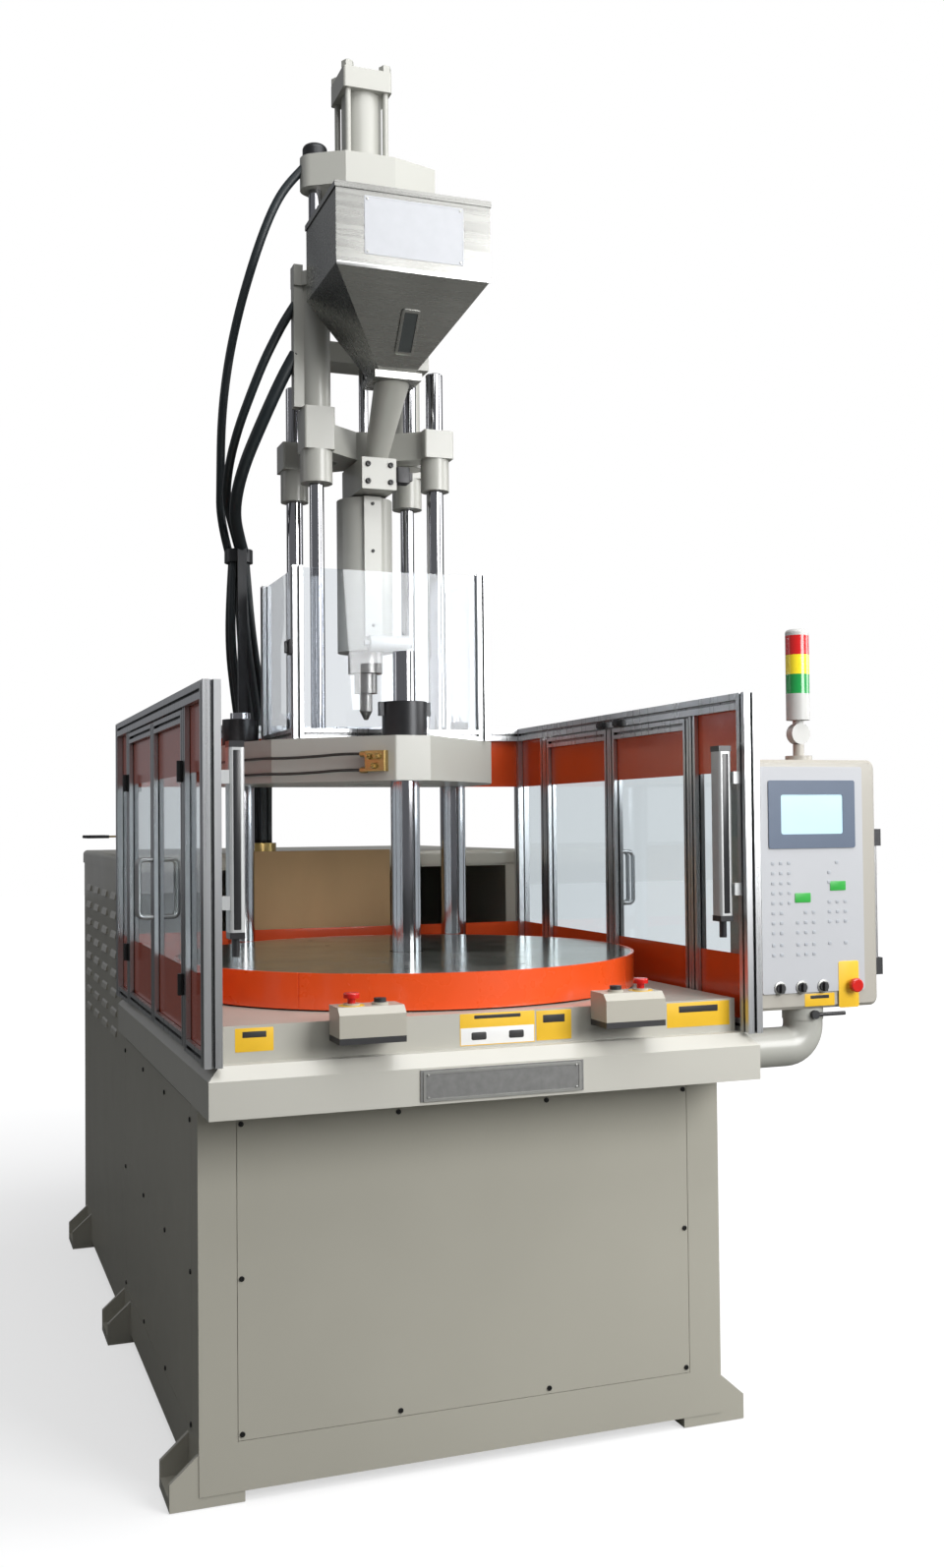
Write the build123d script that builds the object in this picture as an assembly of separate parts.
from build123d import *
import math
import os

# Vertical two-station rotary table injection moulding machine. Millimetres, +Z up.
# The origin is on the floor, at the centre of the four outer anchor holes of the feet.
# The operator stands on the -Y side and +X is on the operator's right.

# Base, tray and rear cabinet
BASE_WIDTH = 1330.0
BASE_FRONT_Y = -1197.0
SEAM_Y = 153.0
CABINET_DEPTH = 1102.0
CABINET_RISE = 304.0
LID_HEIGHT = 47.0
LID_OVERHANG = 4.0
SHEET = 8.0
SEAM_GAP = 1.0
TRAY_OVERHANG = 10.0
TRAY_FRONT_Y = -1395.0
TRAY_BOTTOM_Z = 901.0
TRAY_SKIRT = 83.0
TRAY_BEVEL = 29.0
PLATE_WIDTH = 400.0
PLATE_THICKNESS = 3.0
PLATE_MARGIN = 8.0
COVER_BOTTOM_Z = 137.0
COVER_TOP_GAP = 11.0
COVER_SIDE_MARGIN = 88.0
COVER_THICKNESS = 3.0
COVER_GAP = 1.5
COVER_LAP = 20.0
LOUVRE_LENGTH = 130.0
LOUVRE_RISE = 7.0
LOUVRE_HEIGHT = 22.0
LOUVRE_PITCH = 62.0
LOUVRE_ROWS = 8
LOUVRE_COLUMNS = 4
LOUVRE_DROP = 98.0
MOUTH_MARGIN = 44.0
BOARD_LEFT_X = -272.0
BOARD_RIGHT_X = 205.0
BOARD_THICKNESS = 10.0
BOARD_STRIP = 60.0
BOARD_RISE = 4.0

# Feet and their anchor holes
FOOT_PLATE = 25.0
FOOT_LENGTH = 150.0
FOOT_REACH = 66.0
FOOT_UNDER = 105.0
FOOT_GUSSET = 12.0
GUSSET_TOP_Z = 120.0
GUSSET_TOE_Z = 62.0
ANCHOR_REACH = 34.0
ANCHOR_RADIUS = 11.0
ANCHOR_FRONT_Y = -1120.0
ANCHOR_MIDDLE_Y = 40.0
ANCHOR_REAR_Y = 1120.0

# Bed, rotary table and its bearing
BED_SIDE_SETBACK = 35.0
BED_FRONT_SETBACK = 60.0
BED_REAR_SETBACK = 30.0
BED_HEIGHT = 81.0
BED_PLATE = 60.0
BED_SKIRT = 15.0
TABLE_Y = -675.0
TABLE_RADIUS = 620.0
RING_HEIGHT = 43.0
TABLE_THICKNESS = 47.0
RIM_HEIGHT = 86.0
RIM_WALL = 8.0
RIM_SEAM = 2.0
RIM_SEAM_ANGLE = -42.0
STATION_RADIUS = 380.0
TABLE_CLEARANCE = 6.0
BEARING_OUTER = 360.0
BEARING_SPLIT = 330.0
BEARING_INNER = 290.0
BEARING_GAP = 0.3
BEARING_RELIEF = 3.0
MOTOR_X = 450.0
MOTOR_RADIUS = 70.0
MOTOR_LENGTH = 240.0
MOTOR_FLANGE = 160.0
MOTOR_FLANGE_THICKNESS = 34.0
PINION_RADIUS = 89.7
PINION_LIFT = 6.0
SHAFT_RADIUS = 29.7
SHAFT_HOLE_RADIUS = 39.7

# Clamp: three tie bars, platen, crosshead, cylinder
TIE_BAR_RADIUS = 40.0
TIE_END_RADIUS = 31.0
TIE_REAR_X = 340.0
TIE_REAR_Y = -105.0
RUNNING_FIT = 0.05
DAYLIGHT = 467.0
PLATEN_THICKNESS = 122.0
PLATEN_NOSE_Y = -750.0
PLATEN_NOSE_HALF = 50.0
PLATEN_SHOULDER_X = 330.0
PLATEN_SHOULDER_Y = -479.0
PLATEN_HALF_WIDTH = 400.0
PLATEN_SIDE_Y = -285.0
PLATEN_REAR_Y = -5.0
PLATEN_EDGE_RADIUS = 8.0
SPRUE_RADIUS = 55.0
FRONT_NUT_RADIUS = 62.0
FRONT_NUT_HEIGHT = 95.0
FRONT_END_HEIGHT = 234.0
REAR_NUT_RADIUS = 55.0
REAR_NUT_HEIGHT = 80.0
NUT_STICKOUT = 20.0
NUT_EAR = 22.0
NUT_BODY_SHARE = 0.6
LOWER_NUT_HEIGHT = 60.0
CROSSHEAD_TOP_Z = 500.0
CROSSHEAD_THICKNESS = 120.0
CROSSHEAD_LOBE = 85.0
RAM_RADIUS = 110.0
RAM_LENGTH = 460.0
RAM_FLANGE = 30.0
CYLINDER_RADIUS = 170.0
CYLINDER_BORE = 125.0
CYLINDER_LENGTH = 400.0
GLAND_LENGTH = 60.0
MOULD_HOLE_RADIUS = 8.0
MOULD_HOLE_DEPTH = 30.0
MOULD_HOLE_X = 300.0
MOULD_HOLE_Y = 200.0

# Injection unit on the platen
AXIS_Y = -295.0
ROD_X = 180.0
ROD_PITCH_Y = 270.0
ROD_CENTRE_Y = -290.0
GUIDE_RADIUS = 25.0
SHIFT_RADIUS = 21.0
GUIDE_STICKOUT = 175.0
SHIFT_STICKOUT = 70.0
ROD_CHAMFER = 3.0
ROD_FLANGE_RADIUS = 42.0
ROD_FLANGE_HEIGHT = 24.0
SEAT_HEIGHT = 835.0
SEAT_THICKNESS = 82.0
SEAT_BLOCK = 90.0
SEAT_CYLINDER_BLOCK = 122.0
SEAT_ARM = 70.0
SEAT_CORE_RADIUS = 88.0
SEAT_CORNER = 6.0
HOUSING_RADIUS = 46.0
GUIDE_HOUSING_RADIUS = 42.0
HOUSING_DROP = 93.0
SHIFT_CYLINDER_RADIUS = 42.0
SHIFT_CYLINDER_LENGTH = 390.0
SHIFT_CAP = 40.0
SHIFT_CAP_RADIUS = 52.0
PORT_BLOCK = 34.0
PORT_LAP = 8.0
PORT_CAP = 44.0
PORT_CAP_RISE = 20.0
COLUMN_X = 145.0
COLUMN_RADIUS = 20.0
COLUMN_LENGTH = 734.0
COLUMN_POCKET = 30.0
TOP_PLATE_THICKNESS = 96.0
TOP_LOBE_RADIUS = 45.0
TOP_FACE_HALF = 76.0
TOP_FACE_SETBACK = 95.0
TOP_RIGHT_X = 216.0
TOP_RIGHT_HALF = 52.0
COLUMN_CAP_RADIUS = 37.0
COLUMN_CAP_HEIGHT = 42.0
COLUMN_CAP_ROUND = 16.0
INJECTION_FLANGE = 150.0
INJECTION_FLANGE_THICKNESS = 62.0
INJECTION_BARREL_RADIUS = 60.0
INJECTION_BORE_RADIUS = 38.0
INJECTION_LENGTH = 265.0
INJECTION_ROD_PITCH = 116.0
INJECTION_ROD_RADIUS = 9.0
INJECTION_ROD_END = 6.0
INJECTION_NUT_RADIUS = 19.0
INJECTION_NUT_HEIGHT = 24.0
PISTON_ROD_RADIUS = 24.0
PISTON_HEIGHT = 30.0
BARREL_RADIUS = 45.0
BARREL_BORE = 20.0
BARREL_DROP = 625.0
BARREL_STICKOUT = 10.0
BAND_RADIUS = 52.0
BAND_HEIGHT = 62.0
NOZZLE_BODY_RADIUS = 34.0
NOZZLE_BODY_LENGTH = 59.0
NOZZLE_RADIUS = 19.0
NOZZLE_LENGTH = 79.0
NOZZLE_TIP = 26.0
NOZZLE_MOUTH = 6.0
NOZZLE_BORE = 3.0
COVER_TUBE_RADIUS = 83.0
COVER_TUBE_WALL = 3.0
COVER_TUBE_TOP_GAP = 6.0
COVER_STRIP_WIDTH = 52.0
COVER_STRIP_RISE = 6.0
COVER_STRIP_LIFT = 40.0
COVER_STRIP_DEPTH = 18.0
THROAT_WIDTH = 104.0
THROAT_FRONT_Y = -455.0
THROAT_DROP = 102.0
THROAT_WALL = 12.0
THROAT_HEIGHT = 92.0
CHUTE_TOP_RADIUS = 50.0
CHUTE_FOOT_RADIUS = 34.0
SCREW_RADIUS = 19.7
SCREW_ROOT_RADIUS = 14.0
SCREW_TIP = 40.0
SCREW_PITCH = 40.0
CARRIAGE_LIFT = 210.0
CARRIAGE_THICKNESS = 60.0
CARRIAGE_DEPTH = 110.0
CARRIAGE_MARGIN = 45.0
SCREW_MOTOR_RADIUS = 72.0
SCREW_MOTOR_LENGTH = 170.0
SCREW_STROKE = 160.0

# Hopper
HOPPER_WIDTH = 438.0
HOPPER_FRONT_Y = -800.0
HOPPER_REAR_Y = -478.0
FUNNEL_HEIGHT = 227.0
HOPPER_BOX_HEIGHT = 218.0
HOPPER_SHEET = 3.0
NECK_Y = -580.0
NECK_HALF = 50.0
NECK_LIFT = 197.0
NECK_FLANGE_HALF = 68.0
NECK_FLANGE_THICKNESS = 20.0
LID_SKIRT = 14.0
LID_SHEET = 2.0
LID_GAP = 1.0
LID_HINGE_RADIUS = 5.0
LID_HINGE_LENGTH = 60.0

# Upper guard
GUARD_LEFT_X = -262.0
GUARD_RIGHT_X = 289.0
GUARD_FRONT_Y = -513.0
GUARD_REAR_Y = -122.0
GUARD_REAR_RIGHT_Y = -184.0
GUARD_HEIGHT = 487.0
GUARD_PROFILE = 30.0
GUARD_SHEET = 5.0

# Fence of slotted profile
POST = 40.0
PROFILE = 30.0
SLOT_WIDTH = 8.0
SLOT_DEPTH = 9.0
FENCE_INSET = 11.0
FENCE_HEIGHT = 836.0
FENCE_REAR_Y = 105.0
HINGE_POST_FRONT_Y = -1118.0
HINGE_POST_REAR_Y = -110.0
LEAF_GAP = 4.0
LEAF_GROUND = 8.0
PANEL_SHEET = 5.0
UPPER_BAND_DROP = 194.0
LOWER_BAND_HEIGHT = 188.0
HANDLE_LENGTH = 150.0
HANDLE_REACH = 38.0
HANDLE_RADIUS = 6.0
HANDLE_HEIGHT = 357.0
HANDLE_BEND = 14.0
KNUCKLE_RADIUS = 7.0
KNUCKLE_LENGTH = 50.0
HINGE_MARGIN = 120.0
HINGE_WING = 3.0

# Light curtains and two-hand boxes
CURTAIN_INSET = 59.0
CURTAIN_Y = -1345.0
CURTAIN_WIDTH = 36.0
CURTAIN_DEPTH = 44.0
CURTAIN_LIFT = 287.0
CURTAIN_LENGTH = 404.0
CURTAIN_CAP = 14.0
CURTAIN_CORNER = 8.0
CURTAIN_PLUG_RADIUS = 9.0
CURTAIN_PLUG_LENGTH = 40.0
BRACKET_DEPTH = 20.0
BRACKET_HEIGHT = 30.0
BRACKET_LOW = 50.0
BRACKET_HIGH = 80.0
BOX_X = 320.0
BOX_WIDTH = 153.0
BOX_DEPTH = 88.0
BOX_FRONT_Y = -1435.0
BOX_LIFT = 39.0
BOX_BEVEL = 16.0
BOX_BUTTON_SETBACK = 4.0
BOX_BRACKET_INSET = 30.0
BOX_BRACKET = 10.0
BOX_BASE = 14.0
BOX_HEIGHT = 66.0
BOX_ESTOP_OFFSET = 36.0
BOX_BUTTON_OFFSET = -30.0
ESTOP_RADIUS = 18.0
ESTOP_STEM = 9.0
ESTOP_RISE = 24.0
ESTOP_HEAD = 12.0
BUTTON_RADIUS = 14.0
BUTTON_RISE = 9.0
COLLAR_RADIUS = 19.0
COLLAR_RISE = 5.0
BUTTON_WELL = 10.0
STEM_FIT = 0.08

# Operator panel, its arm and the signal tower
PANEL_REACH = 205.0
SWIVEL_OFFSET = 10.0
PANEL_FRONT_Y = -1335.0
PANEL_WIDTH = 366.0
PANEL_DEPTH = 110.0
PANEL_LIFT = 43.0
PANEL_HEIGHT = 630.0
PANEL_CORNER = 22.0
PANEL_EDGE = 8.0
FACE_CORNER = 6.0
GRIP_LOW = 95.0
GRIP_HIGH = 430.0
GRIP_OUT = 26.0
GRIP_BLOCK = 42.0
GRIP_BLOCK_DEPTH = 32.0
GRIP_BLOCK_HEIGHT = 44.0
GRIP_RADIUS = 11.0
FACE_WIDTH = 300.0
FACE_HEIGHT = 570.0
FACE_LEFT_MARGIN = 22.0
FACE_BOTTOM_MARGIN = 42.0
FACE_THICKNESS = 4.0
KNOB_RADIUS = 12.0
KNOB_RISE = 16.0
KNOB_LIFT = 56.0
KNOB_STEM = 9.0
KNOB_GRIP = 8.0
KNOB_PITCH = 63.0
KNOB_MARGIN = 71.0
PANEL_STOP_MARGIN = 285.0
ARM_RADIUS = 50.0
ARM_LIFT = 56.0
ARM_BEND = 55.0
ARM_FLANGE_RADIUS = 55.0
ARM_FLANGE = 14.0
COLLAR_HEIGHT = 30.0
SWIVEL_RADIUS = 52.0
LEVER_LENGTH = 88.0
LEVER_RADIUS = 5.0
LEVER_HUB = 11.0
TOWER_RADIUS = 30.0
LENS_HEIGHT = 50.0
TOWER_BODY_HEIGHT = 68.0
TOWER_LIFT = 69.0
TOWER_PIVOT_RADIUS = 27.0
TOWER_FOOT_RADIUS = 34.0
TOWER_FOOT = 12.0
TOWER_STEM_RADIUS = 14.0
TOWER_PIVOT_WIDTH = 28.0
TOWER_NECK = 8.0
TOWER_CAP = 16.0
TOWER_CAP_ROUND = 10.0

# Hoses, the loom and their stand
HOSE_RADIUS = 13.0
LOWER_HOSE_RADIUS = 18.0
LOOM_RADIUS = 38.0
LOOM_STRANDS = 5
STRAND_RADIUS = 12.0
STRAP_OUT = 137.0
STRAP_BACK = 29.0
STRAP_DROP = 235.0
HOSE_SINK = 9.0
STRAP_HEIGHT = 40.0
STRAP_WALL = 6.0
STAND_WIDTH = 28.0
STAND_THICKNESS = 12.0
LOOM_FOOT_X = -215.0
LOOM_FOOT_Y = 250.0
TAP_Y = 900.0
TAP_X = -560.0
TAP_COUNT = 3
TAP_PITCH = 60.0
TAP_RADIUS = 9.0
TAP_HEIGHT = 50.0
TAP_BODY_RADIUS = 11.0
TAP_BODY_HALF = 22.0
TAP_BODY_LIFT = 34.0
LEVER_OUT = 70.0
LEVER_TAIL = 8.0
LEVER_WIDTH = 10.0
LEVER_THICKNESS = 6.0
GLAND_WALL = 12.0
GLAND_HEIGHT = 30.0

# Heights and depths that follow from the sizes above
base_side = BASE_WIDTH / 2
tray_side = base_side + TRAY_OVERHANG
bed_side = tray_side - BED_SIDE_SETBACK
fence_x = tray_side - FENCE_INSET
curtain_x = fence_x - CURTAIN_INSET
panel_x = tray_side + PANEL_REACH
swivel_x = panel_x - SWIVEL_OFFSET
foot_outer = base_side + FOOT_REACH
foot_inner = base_side - FOOT_UNDER
anchor_x = base_side + ANCHOR_REACH
tray_top = TRAY_BOTTOM_Z + TRAY_SKIRT + TRAY_BEVEL
tray_depth = SEAM_Y - SEAM_GAP - TRAY_FRONT_Y
bed_top = tray_top + BED_HEIGHT
cabinet_top = bed_top + CABINET_RISE
louvre_top = cabinet_top - LOUVRE_DROP
fence_top = tray_top + FENCE_HEIGHT
lower_band = tray_top + LOWER_BAND_HEIGHT
upper_band = fence_top - UPPER_BAND_DROP
handle_z = tray_top + HANDLE_HEIGHT
curtain_bottom = tray_top + CURTAIN_LIFT
curtain_top = curtain_bottom + CURTAIN_LENGTH
box_base = tray_top + BOX_LIFT
bed_front = TRAY_FRONT_Y + BED_FRONT_SETBACK
table_bottom = bed_top + RING_HEIGHT
table_top = table_bottom + TABLE_THICKNESS
platen_bottom = table_top + DAYLIGHT
platen_top = platen_bottom + PLATEN_THICKNESS
crosshead_bottom = CROSSHEAD_TOP_Z - CROSSHEAD_THICKNESS
bed_under = bed_top - BED_PLATE
cabinet_rear = SEAM_Y + CABINET_DEPTH
lid_top = cabinet_top + LID_HEIGHT
guard_top = platen_top + GUARD_HEIGHT
rod_front_y = ROD_CENTRE_Y - ROD_PITCH_Y / 2
rod_rear_y = ROD_CENTRE_Y + ROD_PITCH_Y / 2
seat_bottom = platen_top + SEAT_HEIGHT
seat_top = seat_bottom + SEAT_THICKNESS
housing_bottom = seat_bottom - HOUSING_DROP
guide_top = seat_top + GUIDE_STICKOUT
cylinder_block_top = seat_bottom + SEAT_CYLINDER_BLOCK
shift_top = cylinder_block_top + SHIFT_STICKOUT
barrel_bottom = seat_bottom - BARREL_DROP
barrel_top = seat_top + BARREL_STICKOUT
throat_bottom = seat_bottom - THROAT_DROP
throat_top = throat_bottom + THROAT_HEIGHT
cover_tube_bottom = barrel_bottom + BAND_HEIGHT
cover_tube_top = throat_bottom - COVER_TUBE_TOP_GAP
cover_strip_bottom = cover_tube_bottom + COVER_STRIP_LIFT
carriage_bottom = seat_top + CARRIAGE_LIFT
top_plate_bottom = seat_top + COLUMN_LENGTH
top_plate_top = top_plate_bottom + TOP_PLATE_THICKNESS
neck_z = throat_top + NECK_LIFT
hopper_box_bottom = neck_z + FUNNEL_HEIGHT
hopper_top = hopper_box_bottom + HOPPER_BOX_HEIGHT
panel_left = panel_x - PANEL_WIDTH / 2
panel_bottom = tray_top + PANEL_LIFT
panel_top = panel_bottom + PANEL_HEIGHT
knob_first = panel_left + KNOB_MARGIN
knob_z = panel_bottom + KNOB_LIFT
panel_stop_x = panel_left + PANEL_STOP_MARGIN
arm_z = TRAY_BOTTOM_Z + ARM_LIFT
tower_pivot = panel_top + TOWER_LIFT
strap_x = -ROD_X - STRAP_OUT
strap_y = PLATEN_REAR_Y + STRAP_BACK
strap_z = seat_bottom - STRAP_DROP
face_y = PANEL_FRONT_Y - FACE_THICKNESS
swivel_y = PANEL_FRONT_Y + PANEL_DEPTH / 2
TIE_BARS = [(0.0, TABLE_Y), (-TIE_REAR_X, TIE_REAR_Y), (TIE_REAR_X, TIE_REAR_Y)]
GUIDES = [(-ROD_X, rod_rear_y), (ROD_X, rod_front_y)]
SHIFTS = [(-ROD_X, rod_front_y), (ROD_X, rod_rear_y)]
COLUMNS = [(-COLUMN_X, AXIS_Y), (COLUMN_X, AXIS_Y)]
strap_top = strap_z + STRAP_HEIGHT / 2
strand_offset = LOOM_RADIUS - STRAND_RADIUS
loom_foot_z = lid_top + GLAND_HEIGHT

# Hose routes as distances from the strap, and the loom's middle: x, y, share of its drop, spread
TOP_ROUTE = [
    (137, -319, 1117),
    (100, -309, 1077),
    (65, -296, 1025),
    (32, -281, 949),
    (-3, -258, 842),
    (-41, -224, 697),
    (-67, -182, 547),
    (-79, -141, 387),
    (-72, -86, 217),
    (-62, -24, 107),
    (-30, 2, 11),
]
MIDDLE_ROUTE = [
    (77, -449, 657),
    (49, -441, 612),
    (20, -427, 554),
    (-8, -408, 492),
    (-38, -367, 405),
    (-63, -306, 317),
    (-74, -229, 232),
    (-67, -144, 154),
    (-37, -64, 101),
    (12, 30, 11),
]
LOWER_ROUTE = [
    (77, -449, 513),
    (55, -441, 472),
    (31, -426, 420),
    (7, -404, 362),
    (-18, -364, 295),
    (-39, -307, 229),
    (-49, -234, 162),
    (-43, -156, 105),
    (-20, -90, 57),
    (10, -22, 11),
]
LOOM_ROUTE = [
    (strap_x, strap_y, 0.99, 0.8),
    (strap_x, strap_y, 0.82, 1.25),
    (-303, 60, 0.67, 1.6),
    (-272, 132, 0.54, 1.75),
    (-243, 190, 0.4, 1.75),
    (-222, 230, 0.24, 1.6),
    (LOOM_FOOT_X, LOOM_FOOT_Y, 0.11, 1.45),
    (LOOM_FOOT_X, LOOM_FOOT_Y, 0.0, 1.45),
]


def block(x, y, z):
    """A box between the given (low, high) limits."""
    centre = [(low + high) / 2 for low, high in (x, y, z)]
    return Pos(*centre) * Box(x[1] - x[0], y[1] - y[0], z[1] - z[0])


def rod(radius, x, y, z):
    """A vertical cylinder between two heights."""
    height = z[1] - z[0]
    return Pos(x, y, (z[0] + z[1]) / 2) * Cylinder(radius, height)


def rod_x(radius, x, y, z):
    """A cylinder along X between two places."""
    return Pos((x[0] + x[1]) / 2, y, z) * Rot(0, 90, 0) * Cylinder(radius, x[1] - x[0])


def rod_y(radius, x, y, z):
    """A cylinder along Y between two places."""
    return Pos(x, (y[0] + y[1]) / 2, z) * Rot(90, 0, 0) * Cylinder(radius, y[1] - y[0])


def tube(outer, inner, x, y, z):
    return rod(outer, x, y, z) - rod(inner, x, y, z)


def prism(points, z):
    """An upright prism on an outline of points."""
    outline = make_face(Polyline(*points, close=True))
    return Pos(0, 0, z[0]) * extrude(outline, z[1] - z[0])


def pillars(radius, places, z):
    return [rod(radius, x, y, z) for x, y in places]


def drill(body, tools):
    for tool in tools:
        body = body - tool
    return body


def write(name, *shapes):
    """One STEP file for each named piece or group of like pieces."""
    solids = [solid for shape in shapes for solid in shape.solids()]
    body = solids[0] if len(solids) == 1 else Compound(children=solids)
    export_step(body, f"parts/{name}.step")


def slotted(length, size):
    """An extruded profile, along Z from 0, with a slot in the middle of each side."""
    face = Rectangle(size, size)
    reach = size / 2 - SLOT_DEPTH / 2
    for turn in range(4):
        face = face - Rot(0, 0, 90 * turn) * Pos(reach, 0) * Rectangle(SLOT_DEPTH, SLOT_WIDTH)
    return extrude(face, length)


def post(x, y, z, size):
    return Pos(x, y, z[0]) * slotted(z[1] - z[0], size)


def rail_x(x, y, z, size):
    return Pos(x[0], y, z) * Rot(0, 90, 0) * slotted(x[1] - x[0], size)


def rail_y(x, y, z, size):
    return Pos(x, y[0], z) * Rot(-90, 0, 0) * slotted(y[1] - y[0], size)


def foot(y):
    """A channel foot on each side: a base plate and two sloping gussets."""
    half = FOOT_LENGTH / 2
    side = BASE_WIDTH / 2
    outline = [(side, 0), (foot_outer, 0), (foot_outer, GUSSET_TOE_Z), (side, GUSSET_TOP_Z)]
    gusset = extrude(make_face(Polyline(*outline, close=True)), FOOT_GUSSET)
    upright = Rot(90, 0, 0) * gusset
    right = block((foot_inner, foot_outer), (y - half, y + half), (0, FOOT_PLATE))
    right = right + Pos(0, y - half + FOOT_GUSSET, 0) * upright
    right = right + Pos(0, y + half, 0) * upright
    right = right - rod(ANCHOR_RADIUS, anchor_x, y, (-1, FOOT_PLATE + 1))
    return right + mirror(right, about=Plane.YZ)


def cover_limits():
    side = BASE_WIDTH / 2
    height = (COVER_BOTTOM_Z, TRAY_BOTTOM_Z - COVER_TOP_GAP)
    across = (-side + COVER_SIDE_MARGIN, side - COVER_SIDE_MARGIN)
    along = (BASE_FRONT_Y + COVER_SIDE_MARGIN, SEAM_Y - COVER_SIDE_MARGIN)
    return across, along, height


def inset(limits, amount):
    return (limits[0] + amount, limits[1] - amount)


def base_frame():
    """The welded front cabinet with recessed openings for its covers, and four feet."""
    side = BASE_WIDTH / 2
    rear = SEAM_Y - SEAM_GAP
    body = block((-side, side), (BASE_FRONT_Y, rear), (FOOT_PLATE, TRAY_BOTTOM_Z))
    body = body - block(
        (-side + SHEET, side - SHEET),
        (BASE_FRONT_Y + SHEET, rear - SHEET),
        (FOOT_PLATE + SHEET, TRAY_BOTTOM_Z + 1),
    )
    across, along, height = cover_limits()
    front = (BASE_FRONT_Y - 1, BASE_FRONT_Y + COVER_THICKNESS)
    body = body - block(across, front, height)
    hole = (BASE_FRONT_Y, BASE_FRONT_Y + SHEET + 1)
    body = body - block(inset(across, COVER_LAP), hole, inset(height, COVER_LAP))
    for sign in (-1, 1):
        recess = tuple(sorted((sign * (side - COVER_THICKNESS), sign * (side + 1))))
        body = body - block(recess, along, height)
        through = tuple(sorted((sign * (side - SHEET - 1), sign * side)))
        body = body - block(through, inset(along, COVER_LAP), inset(height, COVER_LAP))
    for y in (ANCHOR_FRONT_Y, ANCHOR_MIDDLE_Y):
        body = body + foot(y)
    write("base_frame", body)


def covers():
    """Screwed sheet covers that lie flush in the front and side recesses."""
    side = BASE_WIDTH / 2
    across, along, height = [inset(limits, COVER_GAP) for limits in cover_limits()]
    front = block(across, (BASE_FRONT_Y, BASE_FRONT_Y + COVER_THICKNESS), height)
    left = block((-side, -side + COVER_THICKNESS), along, height)
    right = block((side - COVER_THICKNESS, side), along, height)
    write("covers", front, left, right)


def tray_outline():
    """The outside of the deck tray as a solid, with its bevelled top edge."""
    half = tray_side
    rear = TRAY_FRONT_Y + tray_depth
    body = block((-half, half), (TRAY_FRONT_Y, rear), (TRAY_BOTTOM_Z, tray_top))
    top_edges = body.faces().sort_by(Axis.Z)[-1].edges()
    bevelled = [edge for edge in top_edges if edge.center().Y < rear - 1]
    return chamfer(bevelled, TRAY_BEVEL)


def tray():
    """The formed deck tray: bevelled top edge, skirt and a bottom flange round the opening."""
    half = tray_side
    rear = TRAY_FRONT_Y + tray_depth
    skirt_top = TRAY_BOTTOM_Z + TRAY_SKIRT
    body = tray_outline()
    hollow = (TRAY_BOTTOM_Z + SHEET, skirt_top)
    body = body - block((-half + SHEET, half - SHEET), (TRAY_FRONT_Y + SHEET, rear - SHEET), hollow)
    opening = bed_side - BED_SKIRT
    mouth_front = BASE_FRONT_Y + SHEET
    mouth = (mouth_front, rear - 2 * SHEET)
    body = body - block((-opening, opening), mouth, (TRAY_BOTTOM_Z - 1, tray_top + 1))
    plate_z = (TRAY_BOTTOM_Z + PLATE_MARGIN, skirt_top - PLATE_MARGIN / 2)
    plate_x = (-PLATE_WIDTH / 2, PLATE_WIDTH / 2)
    plate = block(plate_x, (TRAY_FRONT_Y - PLATE_THICKNESS, TRAY_FRONT_Y), plate_z)
    write("tray", body, plate)


def bed():
    """The thick bed plate with its skirt, bored for the tie bars and the table drive."""
    half = bed_side
    rear = SEAM_Y - BED_REAR_SETBACK
    body = block((-half, half), (bed_front, rear), (tray_top, bed_top))
    hollow = (inset((-half, half), BED_SKIRT), inset((bed_front, rear), BED_SKIRT))
    body = body - block(*hollow, (tray_top - 1, bed_under))
    body = drill(body, pillars(TIE_BAR_RADIUS + RUNNING_FIT, TIE_BARS, (bed_under - 1, bed_top + 1)))
    body = body - rod(SHAFT_HOLE_RADIUS, MOTOR_X, TABLE_Y, (bed_under - 1, bed_top + 1))
    write("bed", body)


def louvre(sign, y, z):
    """One pressed louvre: a half-round hood that opens downwards."""
    side = sign * BASE_WIDTH / 2
    outline = [
        (side, z),
        (side, z + LOUVRE_HEIGHT),
        (side + sign * LOUVRE_RISE * 0.5, z + LOUVRE_HEIGHT * 0.7),
        (side + sign * LOUVRE_RISE, z),
    ]
    hood = extrude(make_face(Polyline(*outline, close=True)), LOUVRE_LENGTH)
    return Pos(0, y + LOUVRE_LENGTH, 0) * Rot(90, 0, 0) * hood


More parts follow.
